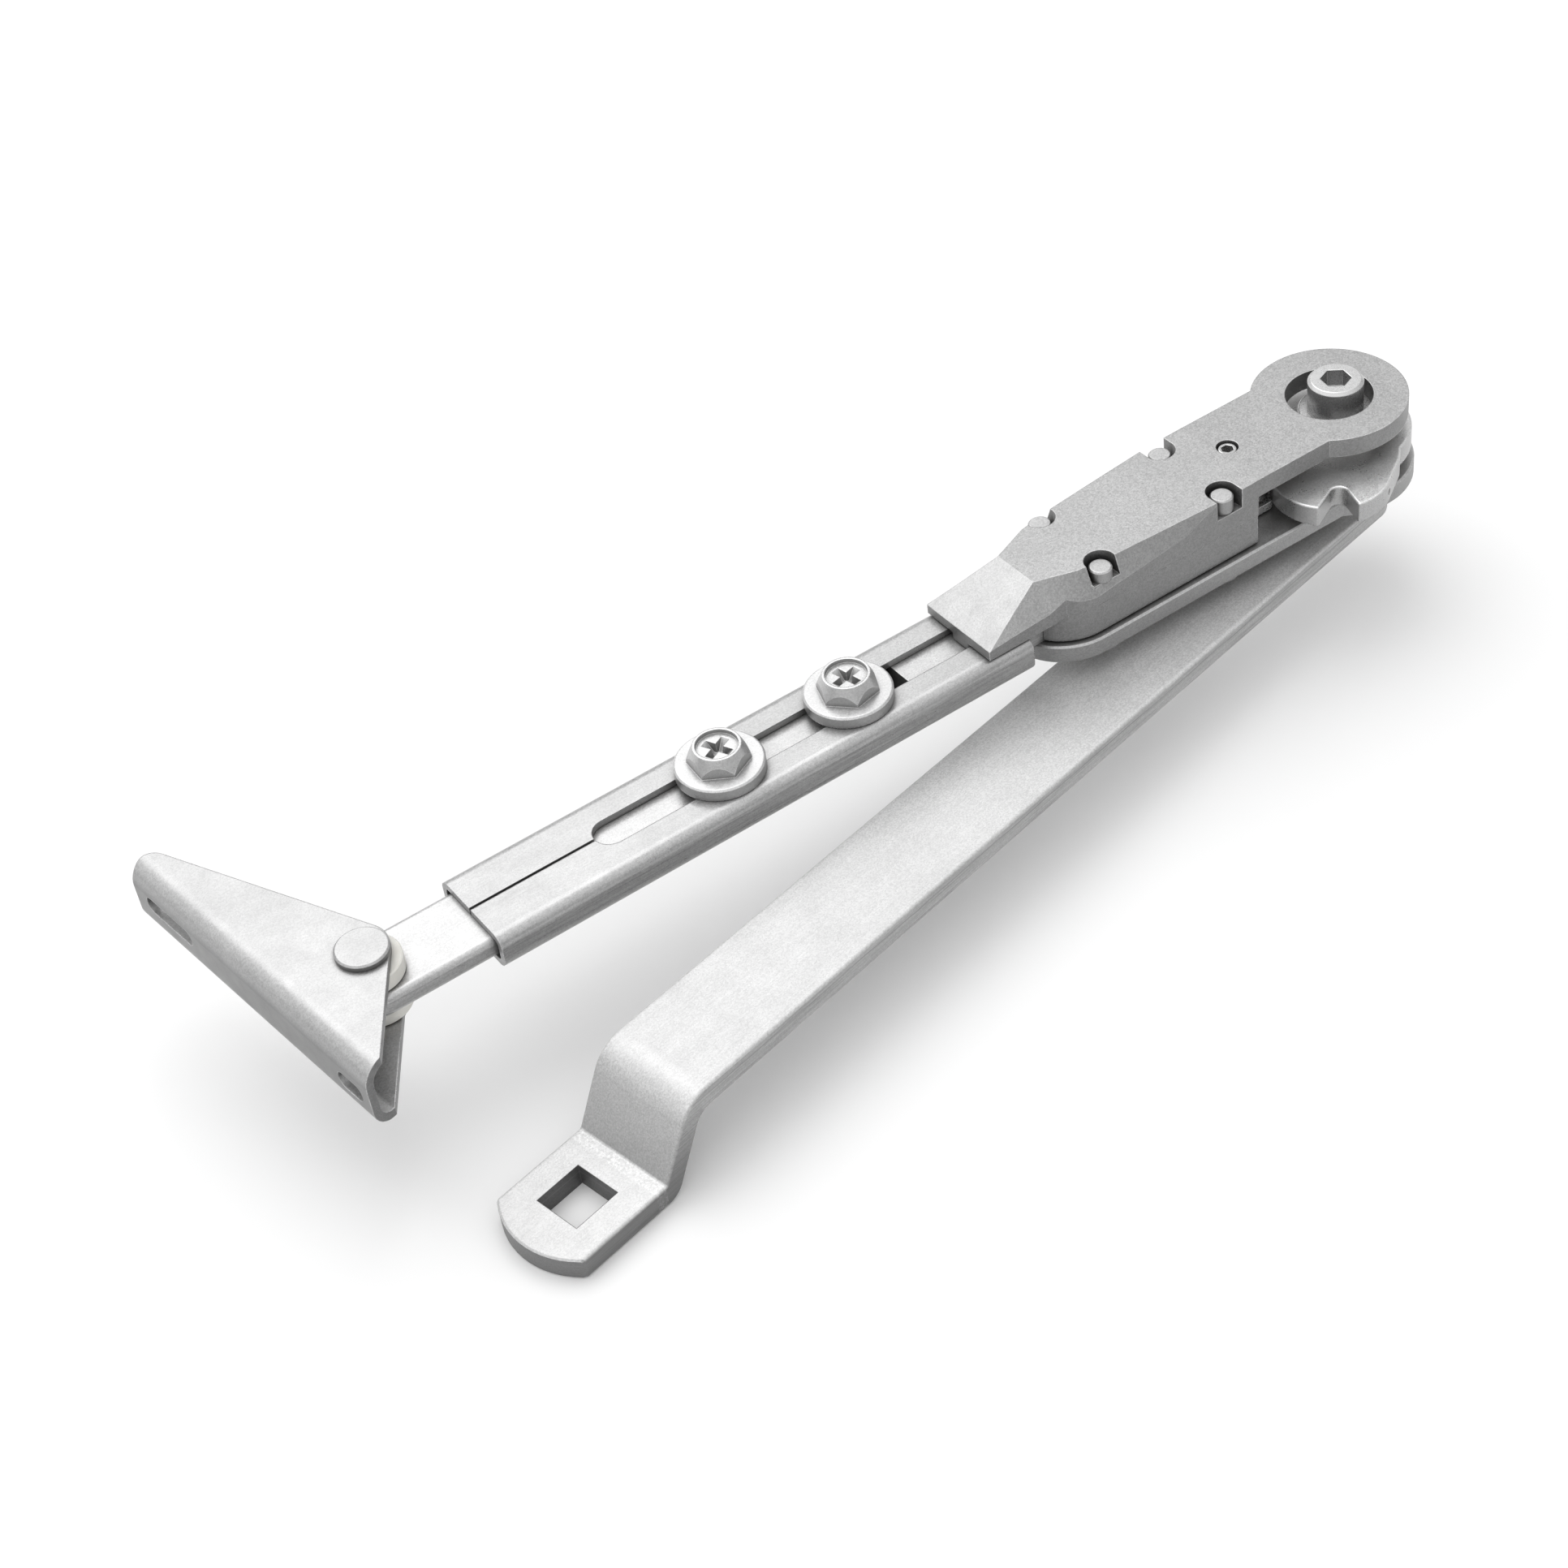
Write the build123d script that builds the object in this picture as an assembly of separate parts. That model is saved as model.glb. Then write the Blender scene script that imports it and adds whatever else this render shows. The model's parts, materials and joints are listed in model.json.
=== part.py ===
from build123d import *
import math
import os

# Hold-open elbow arm of an overhead door closer. Lengths are millimetres and angles are degrees.
#
# Row frame: the origin is the centre of the square spindle hole, on the end plate's underside.
# +X runs along the main arm towards the elbow, +Z is up, parallel to every pivot.
# The forearm is modelled in its own frame: origin on the elbow axis, +X out along the forearm.
# The shoe is modelled in its own frame: origin on the shoe pivot, +X towards the mounting face.

# ---------------------------------------------------------------- driving dimensions
# main arm: a joggled flat bar
ARM_WIDTH = 25.0
ARM_THICK = 5.5
ARM_RISE = 16.7
ARM_LENGTH = 252.6
ARM_TAIL = 15.0
ARM_TAIL_RADIUS = 19.0
ARM_EDGE = 0.8
JOGGLE_START = 12.6
JOGGLE_ANGLE = 61.0
JOGGLE_WEB = 5.8
JOGGLE_CREASE = 0.8
JOGGLE_UNDER = 4.5
JOGGLE_SHOULDER = 9.0
JOGGLE_HEEL = 5.0
SPINDLE_ACROSS_FLATS = 11.3

# folded pose
ELBOW_ANGLE = 11.8
FOREARM_DIRECTION = 180.0 - ELBOW_ANGLE
SHOE_DIRECTION = FOREARM_DIRECTION + 6.6

# lower plate of the elbow
PLATE_BOTTOM = 26.4
PLATE_THICK = 4.6
PLATE_TOP = PLATE_BOTTOM + PLATE_THICK
PLATE_RING_RADIUS = 18.2
PLATE_HALF_WIDTH = 14.6
PLATE_END = 95.6
PLATE_EDGE = 0.4

# elbow cover
COVER_TOP = 49.0
COVER_ROOF = 4.7
ROOF_UNDERSIDE = COVER_TOP - COVER_ROOF
COVER_RING_RADIUS = 17.9
COVER_RING_OFFSET = 2.0
COVER_HOLE_RADIUS = 10.0
COVER_NECK_HALF = 13.2
COVER_SKIRT_INNER = 11.0
COVER_SKIRT_START = 35.2
COVER_CAVITY_END = 74.0
COVER_SHOULDER = 81.0
COVER_SHOULDER_RADIUS = 13.35
PARTING_HEIGHT = 39.2
PARTING_STEP = 0.2
TONGUE_SLOT_HALF = 6.95
COVER_NOSE_END = 109.8
COVER_NOSE_HALF = 11.05
NOSE_TOP = 40.6
NOSE_GAP = 0.35
RIDGE_END = 93.4
RIDGE_END_HALF = 6.1
RIDGE_END_TOP = 48.05
SKIRT_GAP = 0.5
KEY_NEAR = 3.9
KEY_FAR = -2.9
KEY_DEPTH = 1.4
KEY_CORNER = 1.0

# side facets of the cover: station, upper line end (y, z), lower line end (y, z)
FACETS = (
    (46.5, (13.3, 48.2), (13.5, 47.6)),
    (56.0, (12.45, 48.6), (13.2, 44.8)),
    (75.0, (11.05, 48.3), (13.3, 42.5)),
    (84.0, (9.7, 48.2), (13.3, 41.4)),
    (93.4, (6.1, 48.05), (11.3, 41.4)),
    (109.8, (11.05, 40.7), (11.3, 40.45)),
    (112.0, (11.7, 39.7), (11.95, 39.45)),
)
FACET_OVERSHOOT = 3.0
FACET_CLEAR_Y = 20.0
FACET_CLEAR_Z = 56.0

# rivets through cover and lower plate
RIVET_TOPS = {43.6: 47.8, 78.3: 46.8}
RIVET_OFFSET = 10.4
RIVET_SHANK_RADIUS = 1.9
RIVET_HEAD_RADIUS = 2.65
RIVET_HEAD_EDGE = 0.35
RIVET_BOSS_RADIUS = 4.2
RIVET_BOSS_CLIP = 12.5
RIVET_FOOT_RADIUS = 3.6
RIVET_FOOT_THICK = 1.0
POCKET_RADIUS = 3.6
POCKET_FLOOR = 43.9

# forearm channel: folded steel strip with its seam and slot on top
CHANNEL_WIDTH = 24.0
CHANNEL_BOTTOM = 29.4
CHANNEL_TOP = 37.95
CHANNEL_WALL = 1.6
CHANNEL_START = 98.6
CHANNEL_END = 234.6
CHANNEL_CORNER = 2.8
SLOT_WIDTH = 8.0
SLOT_START = 104.0
SLOT_END = 204.4
SEAM_WIDTH = 0.7

# joint bar between channel and elbow
BAR_START = 74.5
BAR_SHOULDER = 99.6
BAR_END = 125.5
BAR_HALF = 10.2
TONGUE_HALF = 6.8

# sliding rod
ROD_WIDTH = 18.4
ROD_BOTTOM = 31.1
ROD_TOP = 36.2
ROD_START = 129.0
ROD_PIVOT = 258.5
ROD_CORNER = 1.6

# clamp screws, M8 with an integral flange
CLAMP_STATIONS = (139.4, 172.8)
CLAMP_SHANK_RADIUS = 3.85
CLAMP_FLANGE_RADIUS = 9.8
CLAMP_FLANGE_THICK = 2.8
CLAMP_FLANGE_EDGE = 0.4
CLAMP_HEX = 12.0
CLAMP_HEAD_HEIGHT = 7.2
CLAMP_DOME_RADII = (8.6, 5.2)
CLAMP_FACE_RADIUS = 4.6
CLAMP_RIM_DEPTH = 1.0
RECESS_WIDTH = 7.0
RECESS_FOOT_WIDTH = 2.6
RECESS_ARM = 1.9
RECESS_FOOT_ARM = 1.2
RECESS_DEPTH = 2.2

# elbow pivot stack
HUB_RADIUS = 9.0
HUB_SHANK_RADIUS = 7.0
HUB_FLANGE_RADIUS = 12.0
BUSH_OUTER_RADIUS = 10.6
BUSH_FLANGE_RADIUS = 13.0
BUSH_FLANGE_THICK = 1.2
CAM_BOTTOM = 34.6
CAM_TOP = 39.6
COLLAR_TOP = 42.7
WASHER_RADIUS = 8.5
WASHER_THICK = 1.6
CAP_HEAD_RADIUS = 6.4
CAP_HEAD_HEIGHT = 8.0
CAP_SHANK_RADIUS = 4.0
CAP_SHANK_LENGTH = 24.0
CAP_HEX = 6.2
CAP_SOCKET_DEPTH = 4.2
CAP_TURN = 8.0
CAP_EDGE = 0.7

# hold-open cam: base circle, lobe and V notch
CAM_BASE_RADIUS = 17.4
CAM_NOSE_RADIUS = 13.6
CAM_NOSE_OFFSET = 18.4
NOTCH_ANGLE = 49.0
LOBE_LAG = 5.0
LOBE_FLAT = 15.15
NOTCH_APEX = 21.1
NOTCH_ROUND = 2.0
NOTCH_LIP = 0.5
CAM_EDGE = 0.5
NOTCH_HALF_ANGLE = 24.0
NOTCH_REACH = 13.0
PUNCH_ANGLE = 76.5
PUNCH_HEIGHT = 36.9
PUNCH_RADIUS = 0.8
PUNCH_DEPTH = 0.3

# detent: plunger, roller, spring
ROLLER_RADIUS = 5.0
ROLLER_STATION = 27.15
ROLLER_BOTTOM = 33.7
ROLLER_TOP = 40.3
ROLLER_PIN_RADIUS = 2.0
PLUNGER_START = 23.4
PLUNGER_END = 43.4
PLUNGER_HALF_WIDTH = 5.8
PLUNGER_BOTTOM = 31.3
PLUNGER_TOP = 42.6
FORK_DEPTH_END = 34.0
SPRING_RADIUS = 4.6
SPRING_WIRE_RADIUS = 0.85
SPRING_END = 71.0
SPRING_TURNS = 8.0
SPRING_AXIS_HEIGHT = 37.0
SEAT_END = 73.9

# set screw over the plunger
SET_SCREW_STATION = 32.0
SET_SCREW_OFFSET = -0.75
SET_SCREW_RADIUS = 2.5
SET_HOLE_RADIUS = 2.55
SET_SCREW_TOP = 48.5
SET_SCREW_HEX = 2.5
SET_SCREW_EDGE = 0.5
SET_SOCKET_DEPTH = 2.2

# shoe bracket
SHOE_THICK = 2.0
SHOE_BOTTOM = 25.6
SHOE_TOP = 42.1
SHOE_FACE = 19.5
SHOE_NOSE = (0.5, -1.8)
SHOE_NOSE_RADIUS = 6.9
SHOE_BEND_RADIUS = 5.0
SHOE_NEAR_CORNER = (14.4, 25.7)
SHOE_NEAR_BEVEL = (16.5, 26.2)
SHOE_NEAR_END = 26.7
SHOE_FAR_CORNER = (13.4, -58.8)
SHOE_FAR_ROUND = 4.0
SHOE_FAR_END = -57.3
SHOE_SLOT_WIDTH = 4.3
SHOE_SLOTS = ((20.0, 8.4, -0.3), (-44.4, 17.2, 1.2))
SHOE_PIN_RADIUS = 4.0
SHOE_HEAD_RADIUS = 5.75
SHOE_HEAD_THICK = 1.5
SHOE_HEAD_EDGE = 0.4
SHOE_FOOT_RADIUS = 5.4
NYLON_RADIUS = 7.6

RUNNING_FIT = 0.05
FACE_GAP = 0.1

BOTTOM = (Align.CENTER, Align.CENTER, Align.MIN)
CORNER = (Align.MIN, Align.MIN, Align.MIN)

ELBOW = Location((ARM_LENGTH, 0, 0), (0, 0, FOREARM_DIRECTION))
SHOE = ELBOW * Location((ROD_PIVOT, 0, 0), (0, 0, SHOE_DIRECTION - FOREARM_DIRECTION))


# ---------------------------------------------------------------- helpers
def disc(x, y, low, high, radius):
    """A vertical cylinder between two heights."""
    return Pos(x, y, low) * Cylinder(radius, high - low, align=BOTTOM)


def slab(x0, x1, y0, y1, z0, z1):
    """A box between two corners."""
    return Pos(x0, y0, z0) * Box(x1 - x0, y1 - y0, z1 - z0, align=CORNER)


def prism(points, low, high):
    """A vertical prism over a plan outline."""
    return Pos(0, 0, low) * extrude(make_face(Polyline(*points, close=True)), high - low)


def hexagon(x, y, low, high, across_flats):
    """A vertical hexagonal bar."""
    outline = RegularPolygon(across_flats / 2, 6, major_radius=False)
    return Pos(x, y, low) * extrude(outline, high - low)


def obround(x0, x1, low, high, radius):
    """A slot-shaped prism along X whose round ends are centred at x0 and x1."""
    middle = slab(x0, x1, -radius, radius, low, high)
    return middle + disc(x0, 0, low, high, radius) + disc(x1, 0, low, high, radius)


def cut_above(solid, a, b, c):
    """Keeps what lies under the plane through three points."""
    a, b, c = Vector(*a), Vector(*b), Vector(*c)
    normal = (b - a).cross(c - a).normalized()
    if normal.Z < 0:
        normal = -normal
    return split(solid, bisect_by=Plane(origin=a, z_dir=normal), keep=Keep.BOTTOM)


def both_sides(solid):
    """The solid together with its mirror image across the forearm's centre plane."""
    return solid + mirror(solid, about=Plane.XZ)


# ---------------------------------------------------------------- main arm and pivot stack
def main_arm():
    """Joggled flat bar with rounded long edges, an arched tail and a square spindle hole."""
    slope = math.tan(math.radians(JOGGLE_ANGLE))
    over = ARM_LENGTH + ARM_WIDTH
    arm_top = ARM_RISE + ARM_THICK
    crease = (JOGGLE_START, ARM_THICK)
    shoulder = (JOGGLE_START + ARM_RISE / slope, arm_top)
    heel = (JOGGLE_START + JOGGLE_WEB - ARM_THICK / slope, 0)
    under = (JOGGLE_START + JOGGLE_WEB + (ARM_RISE - ARM_THICK) / slope, ARM_RISE)
    outline = [
        (-ARM_TAIL, 0),
        heel,
        under,
        (over, ARM_RISE),
        (over, arm_top),
        shoulder,
        crease,
        (-ARM_TAIL, ARM_THICK),
    ]
    side = make_face(Polyline(*outline, close=True))
    for corner, radius in (
        (heel, JOGGLE_HEEL),
        (under, JOGGLE_UNDER),
        (shoulder, JOGGLE_SHOULDER),
        (crease, JOGGLE_CREASE),
    ):
        nearest = side.vertices().sort_by_distance((corner[0], corner[1], 0))[0]
        side = fillet(nearest, radius)
    half_width = ARM_WIDTH / 2
    bar = extrude(Plane.XZ * side, half_width, both=True)
    rims = bar.edges().group_by(Axis.Y)
    ends = (-ARM_TAIL, over)
    long_edges = [
        edge
        for edge in rims[0] + rims[-1]
        if all(abs(edge.center().X - end) > 0.01 for end in ends)
    ]
    bar = fillet(long_edges, ARM_EDGE)
    tail_centre = -ARM_TAIL + ARM_TAIL_RADIUS
    height = arm_top + 2
    plan = disc(tail_centre, 0, -1, height, ARM_TAIL_RADIUS)
    plan += slab(tail_centre, ARM_LENGTH, -ARM_WIDTH, ARM_WIDTH, -1, height)
    plan += disc(ARM_LENGTH, 0, -1, height, half_width)
    bar = bar & plan
    tail_rim = [
        edge
        for edge in bar.edges().filter_by(GeomType.CIRCLE)
        if abs(edge.radius - ARM_TAIL_RADIUS) < 0.01
    ]
    bar = chamfer(tail_rim, ARM_EDGE / 2)
    half = SPINDLE_ACROSS_FLATS / 2
    bar -= slab(-half, half, -half, half, -1, ARM_THICK + 1)
    bar -= disc(ARM_LENGTH, 0, 0, height, HUB_SHANK_RADIUS)
    return bar


def pivot_hub():
    """Headed stud riveted into the main arm; its journal carries the elbow and its top the cam."""
    arm_top = ARM_RISE + ARM_THICK
    hub = disc(0, 0, ARM_RISE + 0.4, arm_top, HUB_SHANK_RADIUS)
    hub += disc(0, 0, arm_top, PLATE_BOTTOM - FACE_GAP, HUB_FLANGE_RADIUS)
    hub += disc(0, 0, arm_top, CAM_BOTTOM - FACE_GAP, HUB_RADIUS)
    hub -= disc(0, 0, ARM_RISE, CAM_BOTTOM, CAP_SHANK_RADIUS + RUNNING_FIT)
    return Pos(ARM_LENGTH, 0, 0) * hub


def hold_open_cam():
    """Cam disc with a lobe and a V notch, clamped on the hub by the cap screw."""
    height = CAM_TOP - CAM_BOTTOM
    base = Circle(CAM_BASE_RADIUS)
    nose = Pos(CAM_NOSE_OFFSET, 0) * Circle(CAM_NOSE_RADIUS)
    outline = make_hull([*base.edges(), *nose.edges()])
    outline -= Pos(0, LOBE_FLAT) * Rectangle(CAM_NOSE_OFFSET, CAM_BASE_RADIUS, align=CORNER[:2])
    cam = Pos(0, 0, CAM_BOTTOM) * extrude(outline + base, height)
    radial = Pos(CAM_NOSE_OFFSET, 0, PUNCH_HEIGHT) * Rot(0, 0, PUNCH_ANGLE)
    outward = Pos(CAM_NOSE_RADIUS - PUNCH_DEPTH, 0, 0) * Rot(0, 90, 0)
    cam -= radial * outward * Cylinder(PUNCH_RADIUS, 1, align=BOTTOM)
    cam = Rot(0, 0, -LOBE_LAG) * cam
    reach = NOTCH_REACH
    spread = reach * math.tan(math.radians(NOTCH_HALF_ANGLE))
    wedge = [(NOTCH_APEX, 0), (NOTCH_APEX + reach, spread), (NOTCH_APEX + reach, -spread)]
    notch = prism(wedge, CAM_BOTTOM - 1, CAM_TOP + 1)
    apex_edge = notch.edges().filter_by(Axis.Z).sort_by(Axis.X)[0]
    cam -= fillet(apex_edge, NOTCH_ROUND)
    lips = [
        edge
        for edge in cam.edges().filter_by(Axis.Z)
        if edge.center().X > NOTCH_APEX + NOTCH_ROUND + 1
    ]
    cam = fillet(lips, NOTCH_LIP)
    cam = fillet(cam.edges().group_by(Axis.Z)[-1], CAM_EDGE)
    cam = Rot(0, 0, NOTCH_ANGLE) * cam
    cam -= disc(0, 0, CAM_BOTTOM - 1, CAM_TOP + 1, CAP_SHANK_RADIUS + 0.15)
    return ELBOW * cam


def clamp_collar():
    """Thick collar between the cam and the flat washer."""
    low = CAM_TOP + 0.05
    collar = disc(0, 0, low, COLLAR_TOP, WASHER_RADIUS)
    collar -= disc(0, 0, low - 1, COLLAR_TOP + 1, CAP_SHANK_RADIUS + 0.3)
    return Pos(ARM_LENGTH, 0, 0) * collar


def flat_washer():
    top = COLLAR_TOP + WASHER_THICK
    washer = disc(0, 0, COLLAR_TOP, top, WASHER_RADIUS)
    washer -= disc(0, 0, COLLAR_TOP - 1, top + 1, CAP_SHANK_RADIUS + 0.3)
    washer = chamfer(washer.edges().group_by(Axis.Z)[-1].sort_by(SortBy.LENGTH)[-1], 0.3)
    return Pos(ARM_LENGTH, 0, 0) * washer


def cap_screw():
    """M8 socket head cap screw on the elbow axis."""
    seat = COLLAR_TOP + WASHER_THICK + 0.05
    top = seat + CAP_HEAD_HEIGHT
    head = disc(0, 0, seat, top, CAP_HEAD_RADIUS)
    head = chamfer(head.edges().group_by(Axis.Z)[-1], CAP_EDGE)
    screw = head + disc(0, 0, seat - CAP_SHANK_LENGTH, seat, CAP_SHANK_RADIUS)
    screw -= hexagon(0, 0, top - CAP_SOCKET_DEPTH, top + 1, CAP_HEX)
    return Pos(ARM_LENGTH, 0, 0) * Rot(0, 0, CAP_TURN) * screw


# ---------------------------------------------------------------- elbow housing
def skirt_plan(inset):
    """Plan of the cover's skirt: nearly parallel sides that end in a wide round shoulder."""
    half = COVER_NECK_HALF - inset
    shoulder = Pos(COVER_SHOULDER, 0) * Circle(COVER_SHOULDER_RADIUS - inset)
    root = Line((COVER_SKIRT_START, -half), (COVER_SKIRT_START, half))
    return make_hull([*shoulder.edges(), *root.edges()])


def facet_section(station, upper, lower):
    """What one side facet removes from the cover's cross-section at a station."""
    run_y = lower[0] - upper[0]
    run_z = lower[1] - upper[1]
    reach = FACET_OVERSHOOT / math.hypot(run_y, run_z)
    above = (upper[0] - run_y * reach, upper[1] - run_z * reach)
    below = (lower[0] + run_y * reach, lower[1] + run_z * reach)
    outline = [
        above,
        below,
        (FACET_CLEAR_Y, below[1]),
        (FACET_CLEAR_Y, FACET_CLEAR_Z),
        (above[0], FACET_CLEAR_Z),
    ]
    return Plane.YZ.offset(station) * make_face(Polyline(*outline, close=True))


def elbow_cover():
    """Cast cover: ring over the pivot, flat neck, skirted body and a wedge nose over the channel."""
    half = COVER_NECK_HALF
    skirt_bottom = PLATE_TOP + SKIRT_GAP
    body = Pos(0, 0, PARTING_HEIGHT) * extrude(skirt_plan(0), COVER_TOP - PARTING_HEIGHT)
    depth = PARTING_HEIGHT - skirt_bottom
    body += Pos(0, 0, skirt_bottom) * extrude(skirt_plan(PARTING_STEP), depth)
    nose_half = COVER_NOSE_HALF
    nose_low = CHANNEL_TOP + NOSE_GAP
    body += slab(COVER_SHOULDER, COVER_NOSE_END, -nose_half, nose_half, nose_low, COVER_TOP)
    ridge_left = (RIDGE_END, -RIDGE_END_HALF, RIDGE_END_TOP)
    ridge_right = (RIDGE_END, RIDGE_END_HALF, RIDGE_END_TOP)
    body = cut_above(body, (COVER_SKIRT_START, 0, COVER_TOP), ridge_left, ridge_right)
    body = cut_above(body, ridge_left, ridge_right, (COVER_NOSE_END, 0, NOSE_TOP))
    facet = loft([facet_section(*entry) for entry in FACETS], ruled=True)
    body -= both_sides(facet)
    inner = COVER_SKIRT_INNER
    body -= slab(COVER_SKIRT_START - 1, COVER_CAVITY_END, -inner, inner, 0, ROOF_UNDERSIDE)
    tongue = TONGUE_SLOT_HALF
    body -= slab(BAR_START - 1, COVER_NOSE_END, -tongue, tongue, 0, ROD_TOP + FACE_GAP)
    ring = disc(COVER_RING_OFFSET, 0, ROOF_UNDERSIDE, COVER_TOP, COVER_RING_RADIUS)
    neck = slab(COVER_RING_OFFSET, COVER_SKIRT_START, -half, half, ROOF_UNDERSIDE, COVER_TOP)
    cover = body + ring + neck
    key_start = SLOT_START + SLOT_WIDTH / 2
    key_low = CHANNEL_TOP - KEY_DEPTH
    key = slab(key_start, COVER_NOSE_END, KEY_FAR, KEY_NEAR, key_low, nose_low + KEY_DEPTH)
    cover += fillet(key.edges().filter_by(Axis.Z).group_by(Axis.X)[-1], KEY_CORNER)
    for station in RIVET_TOPS:
        boss = disc(station, RIVET_OFFSET, skirt_bottom, ROOF_UNDERSIDE, RIVET_BOSS_RADIUS)
        boss &= slab(0, COVER_NOSE_END, TONGUE_SLOT_HALF, RIVET_BOSS_CLIP, 0, COVER_TOP)
        cover += both_sides(boss)
        left, right = station - POCKET_RADIUS, station + POCKET_RADIUS
        pocket = disc(station, RIVET_OFFSET, POCKET_FLOOR, COVER_TOP + 1, POCKET_RADIUS)
        pocket += slab(left, right, RIVET_OFFSET, 2 * half, POCKET_FLOOR, COVER_TOP + 1)
        pocket += disc(station, RIVET_OFFSET, 0, COVER_TOP, RIVET_SHANK_RADIUS + RUNNING_FIT)
        cover -= both_sides(pocket)
    cover -= disc(COVER_RING_OFFSET, 0, 0, COVER_TOP + 1, COVER_HOLE_RADIUS)
    low = ROOF_UNDERSIDE - 1
    cover -= disc(SET_SCREW_STATION, SET_SCREW_OFFSET, low, COVER_TOP + 1, SET_HOLE_RADIUS)
    return ELBOW * cover


def lower_plate():
    """Flat plate under the cover: a ring round the pivot and a rounded outer end."""
    ring = disc(0, 0, PLATE_BOTTOM, PLATE_TOP, PLATE_RING_RADIUS)
    end = PLATE_END - PLATE_HALF_WIDTH
    link = slab(0, end, -PLATE_HALF_WIDTH, PLATE_HALF_WIDTH, PLATE_BOTTOM, PLATE_TOP)
    plate = ring + link + disc(end, 0, PLATE_BOTTOM, PLATE_TOP, PLATE_HALF_WIDTH)
    levels = plate.edges().group_by(Axis.Z)
    plate = chamfer(levels[0] + levels[-1], PLATE_EDGE)
    plate -= disc(0, 0, 0, PLATE_TOP + 1, BUSH_OUTER_RADIUS)
    for station in RIVET_TOPS:
        hole = disc(station, RIVET_OFFSET, 0, PLATE_TOP + 1, RIVET_SHANK_RADIUS + RUNNING_FIT)
        plate -= both_sides(hole)
    return ELBOW * plate


def pivot_bush():
    """Flanged plastic bearing bush in the lower plate."""
    flange_top = PLATE_TOP + BUSH_FLANGE_THICK
    bush = disc(0, 0, PLATE_BOTTOM, PLATE_TOP, BUSH_OUTER_RADIUS)
    bush += disc(0, 0, PLATE_TOP, flange_top, BUSH_FLANGE_RADIUS)
    bush -= disc(0, 0, 0, flange_top + 1, HUB_RADIUS + RUNNING_FIT)
    return ELBOW * bush


def cam_spacer():
    """Loose spacer that fills the gap between the bush flange and the cam."""
    low = PLATE_TOP + BUSH_FLANGE_THICK + FACE_GAP
    high = CAM_BOTTOM - 0.05
    spacer = disc(0, 0, low, high, BUSH_FLANGE_RADIUS - 0.5)
    spacer -= disc(0, 0, 0, high + 1, HUB_RADIUS + 0.02)
    return Pos(ARM_LENGTH, 0, 0) * spacer


def cover_rivets():
    """Four rivets from under the lower plate to the cover's pockets."""
    rivets = []
    for station, top in RIVET_TOPS.items():
        for y in (-RIVET_OFFSET, RIVET_OFFSET):
            shank = disc(station, y, PLATE_BOTTOM, POCKET_FLOOR, RIVET_SHANK_RADIUS)
            head = disc(station, y, POCKET_FLOOR, top, RIVET_HEAD_RADIUS)
            head = chamfer(head.edges().group_by(Axis.Z)[-1], RIVET_HEAD_EDGE)
            foot_bottom = PLATE_BOTTOM - RIVET_FOOT_THICK
            foot = disc(station, y, foot_bottom, PLATE_BOTTOM, RIVET_FOOT_RADIUS)
            foot = chamfer(foot.edges().group_by(Axis.Z)[0], RIVET_HEAD_EDGE)
            rivets.append(shank + head + foot)
    return ELBOW * Compound(children=rivets)


# ---------------------------------------------------------------- forearm
def forearm_channel():
    """Strip folded into a box, its two edges meeting in a seam that opens into the slot."""
    half = CHANNEL_WIDTH / 2
    length = CHANNEL_END - CHANNEL_START
    outer = slab(CHANNEL_START, CHANNEL_END, -half, half, CHANNEL_BOTTOM, CHANNEL_TOP)
    outer = fillet(outer.edges().filter_by(Axis.X), CHANNEL_CORNER)
    low = CHANNEL_BOTTOM + CHANNEL_WALL
    high = CHANNEL_TOP - CHANNEL_WALL
    inside = half - CHANNEL_WALL
    inner = slab(CHANNEL_START - 1, CHANNEL_END + 1, -inside, inside, low, high)
    inner = fillet(inner.edges().filter_by(Axis.X), CHANNEL_CORNER - CHANNEL_WALL)
    channel = outer - inner
    radius = SLOT_WIDTH / 2
    channel -= obround(SLOT_START + radius, SLOT_END - radius, high - 1, CHANNEL_TOP + 1, radius)
    seam = SEAM_WIDTH / 2
    channel -= Pos(CHANNEL_START - 1, -seam, high - 1) * Box(length + 2, SEAM_WIDTH, 4, align=CORNER)
    return ELBOW * channel


def joint_bar():
    """Flat bar pressed into the channel's inner end; its narrower tongue is gripped by the cover."""
    bar = slab(BAR_SHOULDER, BAR_END, -BAR_HALF, BAR_HALF, PLATE_TOP, ROD_TOP)
    bar = chamfer(bar.edges().filter_by(Axis.X), CHANNEL_CORNER - CHANNEL_WALL)
    bar += slab(BAR_START, BAR_SHOULDER, -TONGUE_HALF, TONGUE_HALF, PLATE_TOP, ROD_TOP)
    return ELBOW * bar


def slide_rod():
    """Flat rod that slides in the channel and carries the shoe on its rounded eye."""
    half = ROD_WIDTH / 2
    rod = slab(ROD_START, ROD_PIVOT, -half, half, ROD_BOTTOM, ROD_TOP)
    rod += disc(ROD_PIVOT, 0, ROD_BOTTOM, ROD_TOP, half)
    levels = rod.edges().group_by(Axis.Z)
    rod = fillet(levels[0] + levels[-1], ROD_CORNER)
    for station in CLAMP_STATIONS:
        rod -= disc(station, 0, 0, COVER_TOP, CLAMP_SHANK_RADIUS + RUNNING_FIT)
    rod -= disc(ROD_PIVOT, 0, 0, COVER_TOP, SHOE_PIN_RADIUS + RUNNING_FIT)
    return ELBOW * rod


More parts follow.
